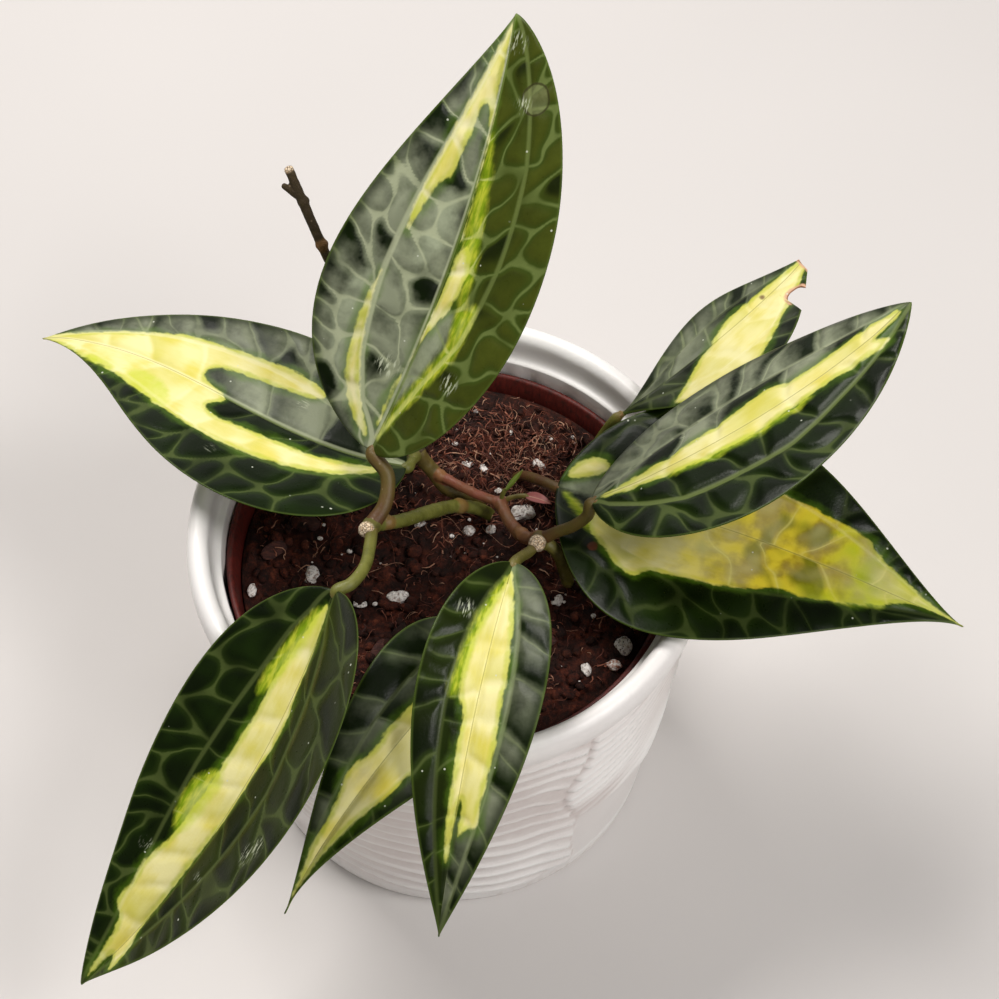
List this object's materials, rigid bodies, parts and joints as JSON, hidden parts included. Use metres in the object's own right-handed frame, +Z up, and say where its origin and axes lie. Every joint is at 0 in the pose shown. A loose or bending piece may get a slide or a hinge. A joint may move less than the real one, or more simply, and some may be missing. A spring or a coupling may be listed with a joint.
{
  "type": "potted climbing plant with gold-centred leaves",
  "caption": "Climbing houseplant with broad glossy green leaves marked gold along the middle, rooted in a plastic growing pot inside a white ceramic pot with a rounded rim",
  "frame": {"origin": "The centre of the ceramic pot's flat base, on the surface it stands on.", "axes": "+Z is up, along the pot's axis. -Y is the front, which faces the viewer of the picture, and +X is to the viewer's right."},
  "size_m": [0.2692, 0.2078, 0.2401],
  "materials": {
    "white_ceramic": "satin",
    "dark_red_plastic": "satin",
    "coir_soil": "matte",
    "perlite": "matte",
    "bark": "matte",
    "stem": "satin",
    "leaf": "gloss",
    "young_leaf_red": "satin",
    "young_leaf_green": "satin"
  },
  "bodies": {
    "root": {"ceramic_pot": "white_ceramic", "nursery_pot": "dark_red_plastic", "soil": "coir_soil", "main_stem": "stem", "left_stem": "stem", "leaf_top": "leaf", "leaf_left": "leaf", "leaf_front_left": "leaf", "leaf_front_low": "leaf", "leaf_front_centre": "leaf", "leaf_right_upper": "leaf", "leaf_right_lower": "leaf", "leaf_back_right": "leaf", "young_leaf_red": "young_leaf_red", "young_leaf_green": "young_leaf_green", "perlite_01": "perlite", "perlite_02": "perlite", "perlite_03": "perlite", "perlite_04": "perlite", "perlite_05": "perlite", "perlite_06": "perlite", "perlite_07": "perlite", "perlite_08": "perlite", "perlite_09": "perlite", "perlite_10": "perlite", "perlite_11": "perlite", "perlite_12": "perlite", "perlite_13": "perlite", "perlite_14": "perlite", "perlite_15": "perlite", "perlite_16": "perlite", "bark_1": "bark", "bark_2": "bark", "bark_3": "bark", "bark_4": "bark", "bark_5": "bark"}
  },
  "joints": []
}
